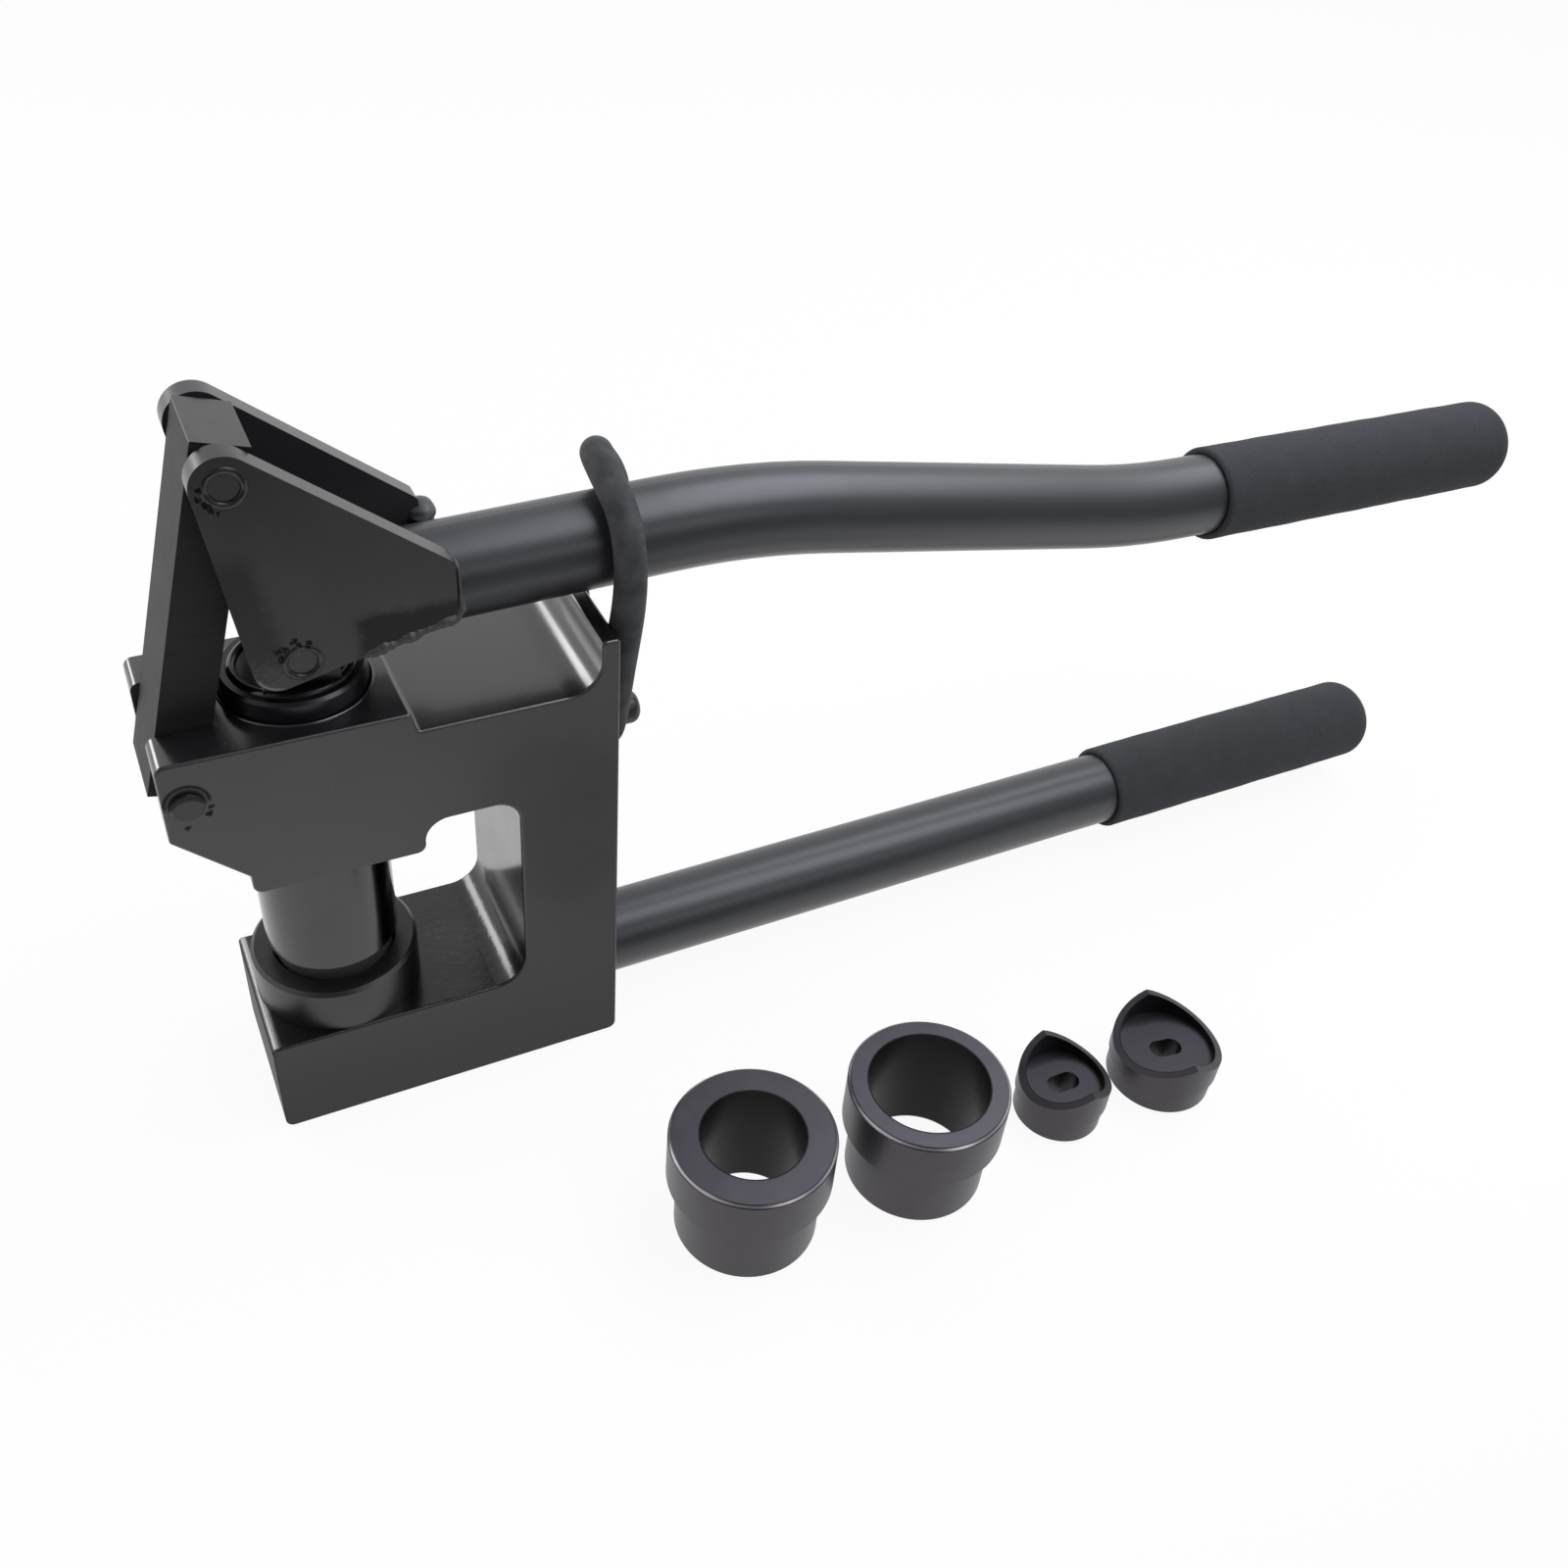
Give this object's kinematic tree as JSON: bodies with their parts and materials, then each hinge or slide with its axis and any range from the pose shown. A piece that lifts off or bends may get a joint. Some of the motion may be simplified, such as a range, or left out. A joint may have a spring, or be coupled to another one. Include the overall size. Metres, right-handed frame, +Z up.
{
  "type": "hand punch",
  "caption": "Hand-operated sheet-metal hole punch: C-shaped block, round ram and die, lever linkage, bent upper handle, straight lower handle and loose tooling.",
  "frame": {"origin": "on the ram's axis, on the flat face that the block stands on", "axes": "+X from the nose towards the handles, +Z up along the ram, -Y is the side that faces the camera"},
  "size_m": [0.4458, 0.152, 0.2108],
  "materials": {
    "frame_paint": "semi-gloss black",
    "ram_steel": "blackened, polished",
    "tool_steel": "blackened, satin",
    "lever_paint": "satin black",
    "pin_steel": "blackened",
    "tube_paint": "satin black",
    "grip_foam": "matte foam",
    "strap_rubber": "matte"
  },
  "bodies": {
    "block": {"frame": "frame_paint", "die": "tool_steel", "link_lower_pin": "pin_steel", "lower_handle_tube": "tube_paint", "lower_handle_weld": "tube_paint", "lower_grip": "grip_foam", "strap_stud": "pin_steel"},
    "ram": {"ram": "ram_steel", "punch": "tool_steel", "punch_screw": "tool_steel"},
    "link": {"link": "lever_paint"},
    "handle": {"handle_plate_front": "lever_paint", "handle_plate_rear": "lever_paint", "plate_weld_front": "lever_paint", "plate_weld_rear": "lever_paint", "upper_handle_tube": "tube_paint", "upper_grip": "grip_foam", "link_upper_pin": "pin_steel", "ram_pin": "pin_steel", "handle_strap": "strap_rubber"},
    "small_die": {"loose_die_small": "tool_steel"},
    "large_die": {"loose_die_large": "tool_steel"},
    "small_punch": {"loose_punch_small": "tool_steel"},
    "large_punch": {"loose_punch_large": "tool_steel"}
  },
  "joints": [
    {"name": "link_swing", "type": "hinge", "parent": "block", "child": "link", "pos_m": [-0.0315, 0, 0.1252], "axis": [0, -1, 0], "range_deg": [0, 24.7]},
    {"name": "handle_swing", "type": "hinge", "parent": "link", "child": "handle", "pos_m": [-0.0108, 0, 0.203], "axis": [0, -1, 0], "range_deg": [0, 25.3], "deforming": ["handle_strap"]},
    {"name": "ram_slide", "type": "slide", "parent": "block", "child": "ram", "axis": [0, 0, 1], "range_m": [0, 0.0256]},
    {"name": "small_die_lift", "type": "slide", "parent": "block", "child": "small_die", "axis": [0, 0, 1], "range_m": [0, 0.05]},
    {"name": "large_die_lift", "type": "slide", "parent": "block", "child": "large_die", "axis": [0, 0, 1], "range_m": [0, 0.05]},
    {"name": "small_punch_lift", "type": "slide", "parent": "block", "child": "small_punch", "axis": [0, 0, 1], "range_m": [0, 0.05]},
    {"name": "large_punch_lift", "type": "slide", "parent": "block", "child": "large_punch", "axis": [0, 0, 1], "range_m": [0, 0.05]}
  ],
  "couplings": [
    {"joint": "handle_swing", "follows": "link_swing", "ratio": 1.0218},
    {"joint": "ram_slide", "follows": "link_swing", "m_per_rad": 0.0593}
  ]
}
